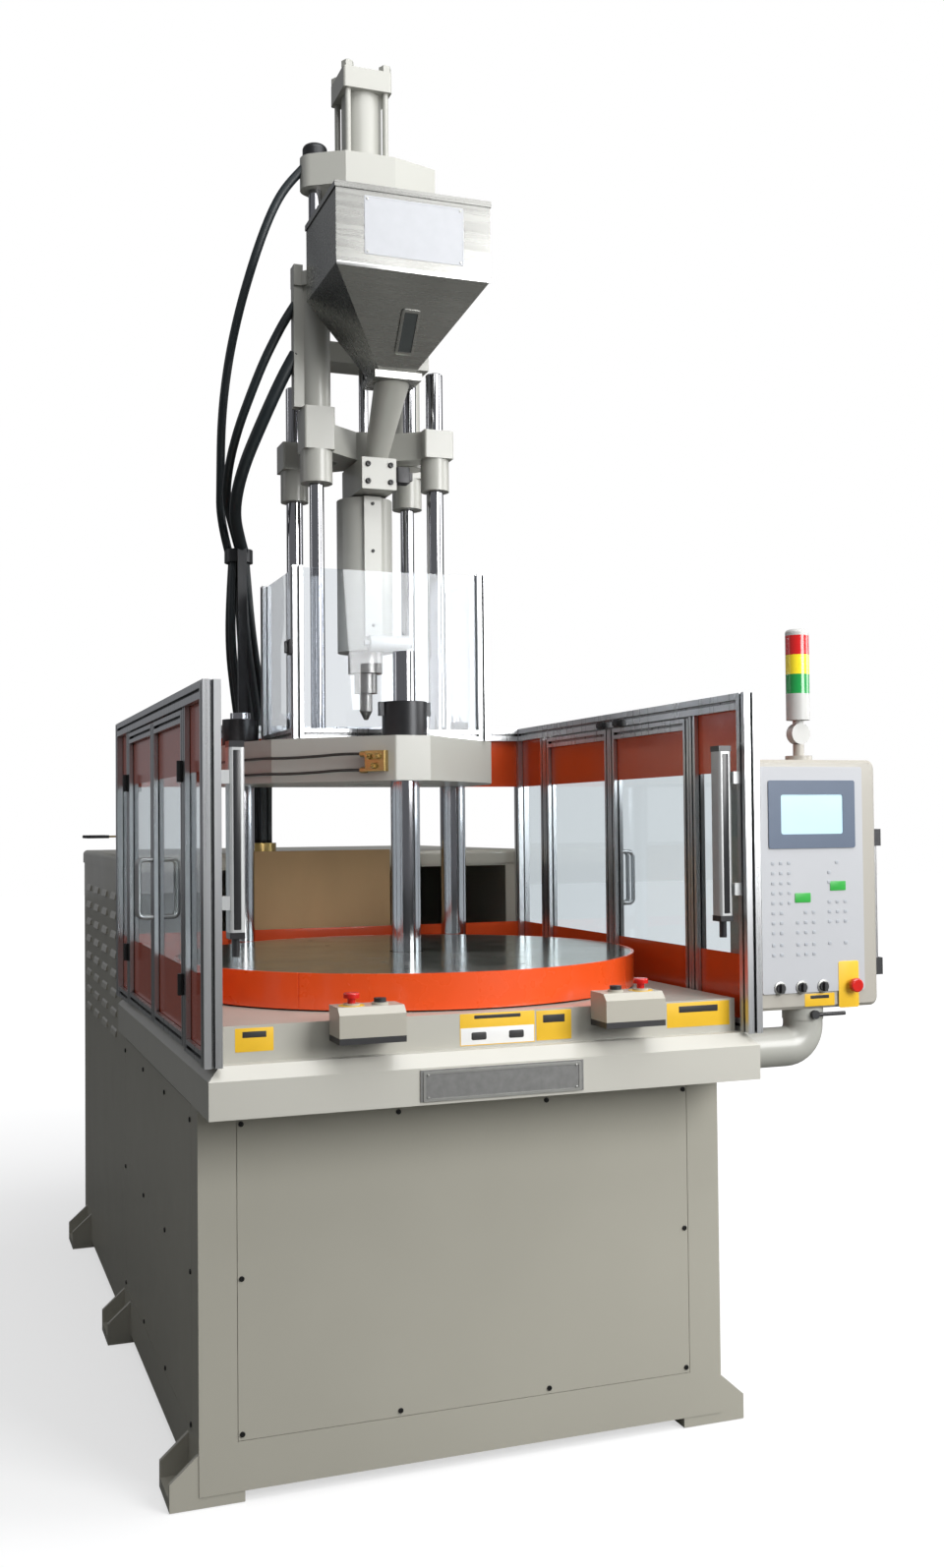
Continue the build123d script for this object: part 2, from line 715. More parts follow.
def rear_cabinet():
    """The rear cabinet: folded walls, a front opening above the deck, side louvres, a rounded lid."""
    side = BASE_WIDTH / 2
    body = block((-side, side), (SEAM_Y, cabinet_rear), (FOOT_PLATE, cabinet_top))
    lid = block(
        (-side - LID_OVERHANG, side + LID_OVERHANG),
        (SEAM_Y - LID_OVERHANG, cabinet_rear + LID_OVERHANG),
        (cabinet_top, lid_top),
    )
    lid = fillet(lid.faces().sort_by(Axis.Z)[-1].edges(), LID_HEIGHT / 3)
    body = body - block(
        inset((-side, side), SHEET),
        inset((SEAM_Y, cabinet_rear), SHEET),
        (FOOT_PLATE + SHEET, cabinet_top - SHEET),
    )
    mouth = inset((-side, side), MOUTH_MARGIN)
    body = body - block(mouth, (SEAM_Y - 1, SEAM_Y + SHEET + 1), (bed_top, cabinet_top - SHEET))
    body = body + lid + foot(ANCHOR_REAR_Y)
    spacing = (CABINET_DEPTH - LOUVRE_COLUMNS * LOUVRE_LENGTH) / (LOUVRE_COLUMNS + 1)
    hoods = []
    for sign in (-1, 1):
        for column in range(LOUVRE_COLUMNS):
            y = SEAM_Y + spacing + column * (LOUVRE_LENGTH + spacing)
            hoods += [louvre(sign, y, louvre_top - row * LOUVRE_PITCH) for row in range(LOUVRE_ROWS)]
    write("rear_cabinet", body.fuse(*hoods))


def rear_board():
    """The tan board that closes the left part of the cabinet's front opening."""
    back = SEAM_Y - LID_OVERHANG
    across = (BOARD_LEFT_X, BOARD_RIGHT_X)
    board = block(across, (back - BOARD_THICKNESS, back), (bed_top, lid_top + BOARD_RISE))
    foot_strip = block(across, (back, SEAM_Y), (cabinet_top - BOARD_STRIP, cabinet_top))
    write("rear_board", board + foot_strip)


def fence_levels():
    """Heights of the leaves: their rails stand between the tray and the top rail."""
    bottom = tray_top + LEAF_GROUND
    top = fence_top - POST - LEAF_GAP
    return bottom, top


def fence_frame():
    """Corner posts, hinge posts and top rails of slotted profile."""
    front_y = TRAY_FRONT_Y + POST / 2
    level = fence_top - POST / 2
    bars = []
    for side in (-fence_x, fence_x):
        bars += [post(side, y, (tray_top, fence_top), POST) for y in (front_y, FENCE_REAR_Y)]
        bars.append(rail_y(side, (front_y + POST / 2, FENCE_REAR_Y - POST / 2), level, POST))
        for y in (HINGE_POST_FRONT_Y, HINGE_POST_REAR_Y):
            bars.append(post(side, y, (tray_top, fence_top - POST), PROFILE))
        fixed_front = (front_y + POST / 2, HINGE_POST_FRONT_Y - PROFILE / 2)
        fixed_rear = (HINGE_POST_REAR_Y + PROFILE / 2, FENCE_REAR_Y - POST / 2)
        for span in (fixed_front, fixed_rear):
            bars.append(rail_y(side, span, tray_top + PROFILE / 2, PROFILE))
    reach = fence_x - POST / 2
    bars.append(rail_x((-reach, reach), FENCE_REAR_Y, level, POST))
    write("fence_frame", *bars)


def sheet_limits(low, high):
    """The sheet reaches the floor of the slot in the profiles on both sides."""
    return (low - SLOT_DEPTH, high + SLOT_DEPTH)


def fixed_sheets():
    """Orange sheets and clear windows beside the doors, and the orange sheets at the rear."""
    half = PANEL_SHEET / 2
    front_y = TRAY_FRONT_Y + POST
    rail = tray_top + PROFILE
    top = fence_top - POST
    spans = [
        sheet_limits(front_y, HINGE_POST_FRONT_Y - PROFILE / 2),
        sheet_limits(HINGE_POST_REAR_Y + PROFILE / 2, FENCE_REAR_Y - POST / 2),
    ]
    bottom = rail - SLOT_DEPTH
    upper = top + SLOT_DEPTH
    orange = []
    clear = []
    for side in (-fence_x, fence_x):
        x = (side - half, side + half)
        for span in spans:
            orange.append(block(x, span, (bottom, lower_band)))
            clear.append(block(x, span, (lower_band, upper_band)))
            orange.append(block(x, span, (upper_band, upper)))
    across = sheet_limits(-fence_x + POST / 2, fence_x - POST / 2)
    depth = (FENCE_REAR_Y - half, FENCE_REAR_Y + half)
    orange.append(block(across, depth, (upper_band, upper)))
    orange.append(block(across, depth, (bed_top, lower_band)))
    write("fence_panels", *orange)
    write("fence_windows", *clear)


def d_handle(x, y, outward):
    """A bow handle on the outer face of a door stile."""
    low = handle_z - HANDLE_LENGTH / 2
    high = handle_z + HANDLE_LENGTH / 2
    out = x + outward * HANDLE_REACH
    path = FilletPolyline((x, y, low), (out, y, low), (out, y, high), (x, y, high), radius=HANDLE_BEND)
    section = Plane(origin=path @ 0, z_dir=path % 0) * Circle(HANDLE_RADIUS)
    return sweep(section, path=path)


def door_leaf(side, hinge_y, meeting_y):
    """One door leaf: four profile bars, the orange and clear sheets, a handle and its hinges."""
    outward = 1 if side > 0 else -1
    bottom, top = fence_levels()
    low, high = sorted((hinge_y, meeting_y))
    stiles = (low + PROFILE / 2, high - PROFILE / 2)
    bars = [post(side, y, (bottom, top), PROFILE) for y in stiles]
    span = (low + PROFILE, high - PROFILE)
    for z in (bottom + PROFILE / 2, top - PROFILE / 2):
        bars.append(rail_y(side, span, z, PROFILE))
    grip_y = meeting_y + (PROFILE / 2 if hinge_y > meeting_y else -PROFILE / 2)
    bars.append(d_handle(side + outward * PROFILE / 2, grip_y, outward))
    pin_x = side + outward * (PROFILE / 2 + KNUCKLE_RADIUS)
    pin_y = hinge_y + (LEAF_GAP / 2 if hinge_y > meeting_y else -LEAF_GAP / 2)
    stile_y = stiles[1] if hinge_y > meeting_y else stiles[0]
    for z in (bottom + HINGE_MARGIN, top - HINGE_MARGIN - KNUCKLE_LENGTH):
        height = (z, z + KNUCKLE_LENGTH)
        knuckle = rod(KNUCKLE_RADIUS, pin_x, pin_y, height)
        face = side + outward * PROFILE / 2
        wing_x = tuple(sorted((face, face + outward * HINGE_WING)))
        wing = block(wing_x, tuple(sorted((stile_y, pin_y))), height)
        bars.append(knuckle + wing)
    sheet_x = (side - PANEL_SHEET / 2, side + PANEL_SHEET / 2)
    sheet_y = sheet_limits(*span)
    low_z = bottom + PROFILE - SLOT_DEPTH
    high_z = top - PROFILE + SLOT_DEPTH
    sheets = [
        block(sheet_x, sheet_y, (low_z, lower_band)),
        block(sheet_x, sheet_y, (lower_band, upper_band)),
        block(sheet_x, sheet_y, (upper_band, high_z)),
    ]
    return bars, sheets


def doors():
    front = HINGE_POST_FRONT_Y + PROFILE / 2 + LEAF_GAP
    rear = HINGE_POST_REAR_Y - PROFILE / 2 - LEAF_GAP
    middle = (front + rear) / 2
    for name, side in (("left", -fence_x), ("right", fence_x)):
        bars, sheets = door_leaf(side, front, middle - LEAF_GAP / 2)
        write(f"{name}_front_door", *bars, *sheets)
        bars, sheets = door_leaf(side, rear, middle + LEAF_GAP / 2)
        write(f"{name}_rear_door", *bars, *sheets)


def light_curtains():
    """A slim housing with end caps on a bracket inside each front post."""
    parts = []
    depth = (CURTAIN_Y - CURTAIN_DEPTH / 2, CURTAIN_Y + CURTAIN_DEPTH / 2)
    for sign in (-1, 1):
        x = sign * curtain_x
        wide = (x - CURTAIN_WIDTH / 2, x + CURTAIN_WIDTH / 2)
        body = block(wide, depth, (curtain_bottom, curtain_top))
        body = fillet(body.edges().filter_by(Axis.Z), CURTAIN_CORNER)
        caps = []
        for z in (curtain_bottom - CURTAIN_CAP, curtain_top):
            caps.append(block(inset(wide, 1), inset(depth, 1), (z, z + CURTAIN_CAP)))
        outer = sign * (fence_x - POST / 2)
        inner = sign * (curtain_x + CURTAIN_WIDTH / 2)
        bracket_x = tuple(sorted((inner, outer)))
        back = TRAY_FRONT_Y + POST
        for z in (curtain_bottom + BRACKET_LOW, curtain_top - BRACKET_HIGH):
            caps.append(block(bracket_x, (back - BRACKET_DEPTH, back), (z, z + BRACKET_HEIGHT)))
        plug_top = curtain_bottom - CURTAIN_CAP
        plug = rod(CURTAIN_PLUG_RADIUS, x, CURTAIN_Y, (plug_top - CURTAIN_PLUG_LENGTH, plug_top))
        parts += [body, *caps, plug]
    write("light_curtains", *parts)


def mushroom(x, y, base):
    """A mushroom emergency stop head on its stem, upright."""
    head_low = base + ESTOP_RISE - ESTOP_HEAD
    head = rod(ESTOP_RADIUS, x, y, (head_low, base + ESTOP_RISE))
    head = fillet(head.edges().sort_by(Axis.Z)[-1], ESTOP_HEAD / 3)
    return head + rod(ESTOP_STEM, x, y, (base - BUTTON_WELL / 2, head_low))


def button_boxes():
    """Cast boxes on a black base with a bracket to the bed, with wells for their push buttons."""
    parts = []
    shoulder = box_base + BOX_BASE
    top = shoulder + BOX_HEIGHT
    depth = (BOX_FRONT_Y, BOX_FRONT_Y + BOX_DEPTH)
    for sign in (-1, 1):
        x = sign * BOX_X
        wide = (x - BOX_WIDTH / 2, x + BOX_WIDTH / 2)
        body = block(wide, depth, (shoulder, top))
        body = chamfer(body.faces().sort_by(Axis.Z)[-1].edges().sort_by(Axis.Y)[0], BOX_BEVEL)
        y = (depth[0] + depth[1]) / 2 + BOX_BUTTON_SETBACK
        collars = []
        for offset, radius in ((BOX_ESTOP_OFFSET, ESTOP_STEM), (BOX_BUTTON_OFFSET, BUTTON_RADIUS)):
            offset = sign * offset
            body = body + rod(COLLAR_RADIUS, x + offset, y, (top, top + COLLAR_RISE))
            well = (top - BUTTON_WELL, top + COLLAR_RISE + 1)
            collars.append(rod(radius + STEM_FIT, x + offset, y, well))
        body = drill(body, collars)
        base = block(wide, depth, (box_base, shoulder))
        bracket_z = (shoulder - BOX_BRACKET, shoulder)
        bracket = block(inset(wide, BOX_BRACKET_INSET), (depth[1], bed_front), bracket_z)
        parts += [body, base + bracket]
        stop = mushroom(x + sign * BOX_ESTOP_OFFSET, y, top + COLLAR_RISE)
        place = x + sign * BOX_BUTTON_OFFSET
        rise = (top - BUTTON_WELL / 2, top + COLLAR_RISE + BUTTON_RISE)
        button = rod(BUTTON_RADIUS, place, y, rise)
        side = "left" if sign < 0 else "right"
        write(f"{side}_estop", stop)
        write(f"{side}_start_button", button)
    write("button_boxes", *parts)


def slewing_ring():
    """The fixed inner ring on the bed, with the turning ring kept with the table."""
    height = (bed_top, table_bottom - BEARING_RELIEF)
    write("slewing_ring", tube(BEARING_SPLIT - BEARING_GAP, BEARING_INNER, 0, TABLE_Y, height))


def rotary_table():
    """The steel disc with tapped mould holes, and the turning bearing ring under it."""
    disc = rod(TABLE_RADIUS - RIM_WALL, 0, TABLE_Y, (table_bottom, table_top))
    disc = disc - rod(TIE_BAR_RADIUS + TABLE_CLEARANCE, 0, TABLE_Y, (table_bottom - 1, table_top + 1))
    holes = []
    for station in (-STATION_RADIUS, STATION_RADIUS):
        for dx in (-MOULD_HOLE_X / 2, MOULD_HOLE_X / 2):
            for dy in (-MOULD_HOLE_Y / 2, MOULD_HOLE_Y / 2):
                y = TABLE_Y + station + dy
                holes.append(rod(MOULD_HOLE_RADIUS, dx, y, (table_top - MOULD_HOLE_DEPTH, table_top + 1)))
    disc = drill(disc, holes)
    ring = tube(BEARING_OUTER, BEARING_SPLIT, 0, TABLE_Y, (bed_top + BEARING_RELIEF, table_bottom))
    write("rotary_table", disc + ring)


def table_rim():
    """The orange sheet rim round the table, in four lengths that meet at seams."""
    bottom = table_top - RIM_HEIGHT
    rim = tube(TABLE_RADIUS, TABLE_RADIUS - RIM_WALL, 0, TABLE_Y, (bottom, table_top))
    for quarter in range(4):
        angle = math.radians(RIM_SEAM_ANGLE + 90 * quarter)
        x = TABLE_RADIUS * math.cos(angle)
        y = TABLE_Y + TABLE_RADIUS * math.sin(angle)
        rim = rim - rod(RIM_SEAM, x, y, (bottom - 1, table_top + 1))
    write("table_rim", rim)


def table_motor():
    """The geared table motor under the bed; its friction pinion drives the turning ring."""
    top = bed_under
    half = MOTOR_FLANGE / 2
    flange = block(
        (MOTOR_X - half, MOTOR_X + half),
        (TABLE_Y - half, TABLE_Y + half),
        (top - MOTOR_FLANGE_THICKNESS, top),
    )
    low = top - MOTOR_FLANGE_THICKNESS
    body = flange + rod(MOTOR_RADIUS, MOTOR_X, TABLE_Y, (low - MOTOR_LENGTH, low))
    pinion = (bed_top + PINION_LIFT, table_bottom - BEARING_RELIEF)
    body = body + rod(SHAFT_RADIUS, MOTOR_X, TABLE_Y, (top, pinion[0]))
    body = body + rod(PINION_RADIUS, MOTOR_X, TABLE_Y, pinion)
    write("table_motor", body)


def clamp_cylinder():
    """The clamp cylinder hangs under the bed, with a gland for the ram at its mouth."""
    bottom = bed_under - CYLINDER_LENGTH
    body = rod(CYLINDER_RADIUS, 0, AXIS_Y, (bottom, bed_under))
    body = body - rod(CYLINDER_BORE, 0, AXIS_Y, (bottom + GLAND_LENGTH, bed_under - GLAND_LENGTH))
    body = body - rod(RAM_RADIUS + RUNNING_FIT, 0, AXIS_Y, (bottom - 1, bottom + GLAND_LENGTH + 1))
    write("clamp_cylinder", body)


def crosshead_outline(radius):
    """Three lobes round the tie bars, joined by straight flanks."""
    lobes = [Pos(x, y) * Circle(radius) for x, y in TIE_BARS]
    return make_hull([edge for lobe in lobes for edge in lobe.edges()])


def clamp_parts():
    """Tie bars, their nuts, the bottom crosshead and the ram."""
    body = extrude(crosshead_outline(CROSSHEAD_LOBE), CROSSHEAD_THICKNESS)
    body = Pos(0, 0, crosshead_bottom) * body
    body = drill(body, pillars(TIE_END_RADIUS, TIE_BARS, (crosshead_bottom - 1, CROSSHEAD_TOP_Z + 1)))
    write("crosshead", body)
    bars = []
    nuts = []
    foot_z = crosshead_bottom - LOWER_NUT_HEIGHT - NUT_STICKOUT / 2
    for index, (x, y) in enumerate(TIE_BARS):
        front = index == 0
        head = platen_top + (FRONT_END_HEIGHT if front else REAR_NUT_HEIGHT + NUT_STICKOUT)
        bar = rod(TIE_BAR_RADIUS, x, y, (CROSSHEAD_TOP_Z, platen_bottom))
        bar = bar + rod(TIE_END_RADIUS, x, y, (foot_z, CROSSHEAD_TOP_Z))
        bars.append(bar + rod(TIE_END_RADIUS, x, y, (platen_bottom, head)))
        radius = FRONT_NUT_RADIUS if front else REAR_NUT_RADIUS
        height = FRONT_NUT_HEIGHT if front else REAR_NUT_HEIGHT
        nut = rod(radius, x, y, (platen_top, platen_top + height))
        if front:
            ears = (platen_top + height * NUT_BODY_SHARE, platen_top + height)
            reach = radius + NUT_EAR / 2
            nut = nut + block((x - reach, x + reach), (y - NUT_EAR / 2, y + NUT_EAR / 2), ears)
        nuts.append(nut - rod(TIE_END_RADIUS, x, y, (platen_top - 1, head + 1)))
        low = (crosshead_bottom - LOWER_NUT_HEIGHT, crosshead_bottom)
        nuts.append(tube(REAR_NUT_RADIUS, TIE_END_RADIUS, x, y, low))
    write("tie_bars", *bars)
    write("tie_bar_nuts", *nuts)
    ram = rod(RAM_RADIUS, 0, AXIS_Y, (CROSSHEAD_TOP_Z, CROSSHEAD_TOP_Z + RAM_LENGTH))
    ram = ram + rod(RAM_RADIUS + RAM_FLANGE, 0, AXIS_Y, (CROSSHEAD_TOP_Z, CROSSHEAD_TOP_Z + RAM_FLANGE))
    write("clamp_ram", ram)


def platen():
    """The moving platen: a thick plate with a nose round the front tie bar."""
    right = [
        (PLATEN_NOSE_HALF, PLATEN_NOSE_Y),
        (PLATEN_SHOULDER_X, PLATEN_SHOULDER_Y),
        (PLATEN_HALF_WIDTH, PLATEN_SIDE_Y),
        (PLATEN_HALF_WIDTH, PLATEN_REAR_Y),
    ]
    left = [(-x, y) for x, y in reversed(right)]
    body = prism(right + left, (platen_bottom, platen_top))
    body = fillet(body.edges().filter_by(Axis.Z), PLATEN_EDGE_RADIUS)
    through = (platen_bottom - 1, platen_top + 1)
    body = drill(body, pillars(TIE_END_RADIUS, TIE_BARS, through))
    body = body - rod(SPRUE_RADIUS, 0, AXIS_Y, through)
    for dx in (-MOULD_HOLE_X / 2, MOULD_HOLE_X / 2):
        for dy in (-MOULD_HOLE_Y / 2, MOULD_HOLE_Y / 2):
            depth = (platen_bottom - 1, platen_bottom + MOULD_HOLE_DEPTH)
            body = body - rod(MOULD_HOLE_RADIUS, dx, AXIS_Y + dy, depth)
    write("platen", body)


def seat_rods():
    """Two guide rods with free tops and two shift-cylinder rods, each on a flange on the platen."""
    parts = []
    for radius, places, top in ((GUIDE_RADIUS, GUIDES, guide_top), (SHIFT_RADIUS, SHIFTS, shift_top)):
        for x, y in places:
            stem = rod(radius, x, y, (platen_top, top))
            stem = chamfer(stem.edges().sort_by(Axis.Z)[-1], ROD_CHAMFER)
            parts.append(stem + rod(ROD_FLANGE_RADIUS, x, y, (platen_top, platen_top + ROD_FLANGE_HEIGHT)))
    write("seat_rods", *parts)


def guard():
    """The clear guard round the nozzle: slotted posts, rails and clear sheets."""
    size = GUARD_PROFILE
    low = platen_top
    sides = ((GUARD_LEFT_X, GUARD_REAR_Y), (GUARD_RIGHT_X, GUARD_REAR_RIGHT_Y))
    bars = []
    for x, rear_y in sides:
        bars += [post(x, y, (low, guard_top), size) for y in (GUARD_FRONT_Y, rear_y)]
    span_x = (GUARD_LEFT_X + size / 2, GUARD_RIGHT_X - size / 2)
    z = low + size / 2
    bars.append(rail_x(span_x, GUARD_FRONT_Y, z, size))
    half = GUARD_SHEET / 2
    height = (low + size - SLOT_DEPTH, guard_top - LEAF_GAP)
    sheets = [block(sheet_limits(*span_x), (GUARD_FRONT_Y - half, GUARD_FRONT_Y + half), height)]
    for x, rear_y in sides:
        span_y = (GUARD_FRONT_Y + size / 2, rear_y - size / 2)
        bars.append(rail_y(x, span_y, z, size))
        sheets.append(block((x - half, x + half), sheet_limits(*span_y), height))
    write("guard_frame", *bars)
    write("guard_panels", *sheets)


def hose_stand():
    """A flat post on the platen's rear edge that carries the strap round the hoses."""
    x = (strap_x - STAND_WIDTH / 2, strap_x + STAND_WIDTH / 2)
    front = strap_y - LOOM_RADIUS - STRAP_WALL
    deep = (front - STAND_THICKNESS, front)
    body = block(x, deep, (platen_top, strap_top))
    toe = block(x, (deep[0] - STAND_THICKNESS, deep[1]), (platen_top, platen_top + STAND_THICKNESS))
    band = (strap_top - STRAP_HEIGHT, strap_top)
    strap = tube(LOOM_RADIUS + STRAP_WALL, LOOM_RADIUS + BEARING_GAP, strap_x, strap_y, band)
    link = block(x, (deep[0], strap_y - LOOM_RADIUS - STRAP_WALL / 2), band)
    link = link - rod(LOOM_RADIUS + STRAP_WALL / 2, strap_x, strap_y, band)
    write("hose_stand", body + toe + link + strap)


def seat():
    """The injection seat casting: a core round the barrel, arms to four bush blocks, housings below."""
    level = (seat_bottom, seat_top)
    body = rod(SEAT_CORE_RADIUS, 0, AXIS_Y, level)
    places = GUIDES + SHIFTS
    half = SEAT_BLOCK / 2
    for x, y in places:
        top = cylinder_block_top if (x, y) in SHIFTS else seat_top
        run = math.hypot(x, y - AXIS_Y)
        angle = math.degrees(math.atan2(y - AXIS_Y, x))
        arm = Pos(run / 2, 0, 0) * Box(run, SEAT_ARM, SEAT_THICKNESS)
        body = body + Pos(0, AXIS_Y, (level[0] + level[1]) / 2) * Rot(0, 0, angle) * arm
        corner = block((x - half, x + half), (y - half, y + half), (seat_bottom, top))
        body = body + fillet(corner.edges().filter_by(Axis.Z), SEAT_CORNER)
        radius = HOUSING_RADIUS if (x, y) in SHIFTS else GUIDE_HOUSING_RADIUS
        body = body + rod(radius, x, y, (housing_bottom, seat_bottom))
    for x, y in COLUMNS:
        body = body + rod(COLUMN_RADIUS * 2, x, y, level)
        body = body - rod(COLUMN_RADIUS + RUNNING_FIT, x, y, (seat_top - COLUMN_POCKET, seat_top + 1))
    through = (housing_bottom - 1, cylinder_block_top + 1)
    body = drill(body, pillars(GUIDE_RADIUS + RUNNING_FIT, GUIDES, through))
    body = drill(body, pillars(SHIFT_RADIUS + RUNNING_FIT, SHIFTS, through))
    body = body - rod(BARREL_RADIUS, 0, AXIS_Y, through)
    write("seat", body)


def shift_cylinders():
    """Painted cylinders over the shift rods, capped, with a port block on the left one."""
    parts = []
    top = cylinder_block_top + SHIFT_CYLINDER_LENGTH
    for x, y in SHIFTS:
        body = rod(SHIFT_CYLINDER_RADIUS, x, y, (cylinder_block_top, top - SHIFT_CAP))
        body = body + rod(SHIFT_CAP_RADIUS, x, y, (top - SHIFT_CAP, top))
        body = body - rod(SHIFT_RADIUS + 6, x, y, (cylinder_block_top - 1, top - SHIFT_CAP))
        parts.append(body)
    x, y = SHIFTS[0]
    left = x - SHIFT_CYLINDER_RADIUS - PORT_BLOCK + PORT_LAP
    block_x = (left, left + PORT_BLOCK)
    port = block(block_x, (y - PORT_BLOCK / 2, y + PORT_BLOCK / 2), (cylinder_block_top, top - SHIFT_CAP))
    port = port - rod(SHIFT_CYLINDER_RADIUS, x, y, (cylinder_block_top - 1, top))
    cap_y = (y - PORT_CAP / 2, y + PORT_CAP / 2)
    cap = block((left, left + PORT_BLOCK - PORT_LAP), cap_y, (top - SHIFT_CAP, top + PORT_CAP_RISE))
    cap = cap - rod(SHIFT_CAP_RADIUS, x, y, (top - SHIFT_CAP - 1, top + 1))
    write("shift_cylinders", *parts, port + cap)


def top_plate_outline():
    """A thick plate: a round left end, a straight right end, flat faces front and rear."""
    front = AXIS_Y - TOP_FACE_SETBACK
    rear = AXIS_Y + TOP_FACE_SETBACK
    face = [(TOP_FACE_HALF, front), (TOP_FACE_HALF, rear), (-TOP_FACE_HALF, rear), (-TOP_FACE_HALF, front)]
    end = [(TOP_RIGHT_X, AXIS_Y - TOP_RIGHT_HALF), (TOP_RIGHT_X, AXIS_Y + TOP_RIGHT_HALF)]
    lobe = Pos(*COLUMNS[0]) * Circle(TOP_LOBE_RADIUS)
    edges = lobe.edges() + Polyline(face[3], face[0], *end, face[1], face[2], close=True).edges()
    return make_hull(edges)


def injection_head():
    """Columns, a cap on the left one, the top plate and the square-flanged injection cylinder."""
    columns = pillars(COLUMN_RADIUS, COLUMNS, (seat_top - COLUMN_POCKET, top_plate_top))
    cap = rod(COLUMN_CAP_RADIUS, *COLUMNS[0], (top_plate_top, top_plate_top + COLUMN_CAP_HEIGHT))
    columns[0] = columns[0] + fillet(cap.edges().sort_by(Axis.Z)[-1], COLUMN_CAP_ROUND)
    write("columns", *columns)
    plate = Pos(0, 0, top_plate_bottom) * extrude(top_plate_outline(), TOP_PLATE_THICKNESS)
    through = (top_plate_bottom - 1, top_plate_top + 1)
    plate = drill(plate, pillars(COLUMN_RADIUS + RUNNING_FIT, COLUMNS, through))
    plate = plate - rod(PISTON_ROD_RADIUS + RUNNING_FIT, 0, AXIS_Y, through)
    write("top_plate", plate)
    head = top_plate_top + INJECTION_LENGTH
    flange_low = head - INJECTION_FLANGE_THICKNESS
    half = INJECTION_FLANGE / 2
    body = rod(INJECTION_BARREL_RADIUS, 0, AXIS_Y, (top_plate_top, flange_low))
    flange = block((-half, half), (AXIS_Y - half, AXIS_Y + half), (flange_low, head))
    body = body + fillet(flange.edges().filter_by(Axis.Z), 8)
    body = body - rod(INJECTION_BORE_RADIUS, 0, AXIS_Y, (top_plate_top - 1, flange_low))
    pitch = INJECTION_ROD_PITCH / 2
    for sx in (-pitch, pitch):
        for sy in (-pitch, pitch):
            y = AXIS_Y + sy
            body = body + rod(INJECTION_ROD_RADIUS, sx, y, (top_plate_top, head + INJECTION_NUT_HEIGHT))
            nut = extrude(RegularPolygon(INJECTION_NUT_RADIUS, 6), INJECTION_NUT_HEIGHT - INJECTION_ROD_END)
            body = body + Pos(sx, y, head) * nut
    write("injection_cylinder", body)


def barrel():
    """The heated barrel with its band, nozzle body and tip, and the thin cover round it."""
    body = rod(BARREL_RADIUS, 0, AXIS_Y, (barrel_bottom, barrel_top))
    body = body + rod(BAND_RADIUS, 0, AXIS_Y, (barrel_bottom, barrel_bottom + BAND_HEIGHT))
    low = barrel_bottom - NOZZLE_BODY_LENGTH
    body = body + rod(NOZZLE_BODY_RADIUS, 0, AXIS_Y, (low, barrel_bottom))
    tip = low - NOZZLE_LENGTH + NOZZLE_TIP
    body = body + rod(NOZZLE_RADIUS, 0, AXIS_Y, (tip, low))
    point = Pos(0, AXIS_Y, tip - NOZZLE_TIP / 2) * Cone(NOZZLE_MOUTH, NOZZLE_RADIUS, NOZZLE_TIP)
    body = body + point
    body = body - rod(BARREL_BORE, 0, AXIS_Y, (barrel_bottom, barrel_top + 1))
    body = body - rod(NOZZLE_BORE, 0, AXIS_Y, (tip - NOZZLE_TIP - 1, barrel_bottom + 1))
    write("barrel", body)
    height = (cover_tube_bottom, cover_tube_top)
    shell = tube(COVER_TUBE_RADIUS, COVER_TUBE_RADIUS - COVER_TUBE_WALL, 0, AXIS_Y, height)
    lip = (cover_tube_bottom, cover_tube_bottom + COVER_TUBE_WALL)
    shell = shell + tube(COVER_TUBE_RADIUS, BARREL_RADIUS + BEARING_GAP, 0, AXIS_Y, lip)
    half = COVER_STRIP_WIDTH / 2
    front = AXIS_Y - COVER_TUBE_RADIUS
    strip_z = (cover_strip_bottom, cover_tube_top)
    outer = front - COVER_STRIP_RISE
    strip = block((-half, half), (outer, outer + COVER_STRIP_DEPTH), strip_z)
    strip = strip - rod(COVER_TUBE_RADIUS, 0, AXIS_Y, strip_z)
    write("barrel_cover", shell + strip)


def chute():
    """The throat block on the barrel and the cast chute that leans back from the hopper."""
    half = THROAT_WIDTH / 2
    top = throat_top
    depth = (THROAT_FRONT_Y, AXIS_Y + BARREL_RADIUS + THROAT_WALL)
    throat = block((-half, half), depth, (throat_bottom, top))
    throat = throat - rod(BARREL_RADIUS, 0, AXIS_Y, (throat_bottom - 1, top + 1))
    head = neck_z - NECK_FLANGE_THICKNESS
    foot_y = THROAT_FRONT_Y + CHUTE_FOOT_RADIUS
    upper = Plane(origin=(0, NECK_Y, head)) * Circle(CHUTE_TOP_RADIUS)
    lower = Plane(origin=(0, foot_y, top)) * Circle(CHUTE_FOOT_RADIUS)
    spout = loft([lower, upper])
    write("chute", throat + spout)


def pyramid(half_top, y_top, half_neck, low, high):
    """A four-sided funnel between the box outline and the neck."""
    top_depth = y_top[1] - y_top[0]
    upper = Pos(0, (y_top[0] + y_top[1]) / 2, high) * Rectangle(2 * half_top, top_depth)
    lower = Pos(0, NECK_Y, low) * Rectangle(2 * half_neck, 2 * half_neck)
    return loft([lower, upper])


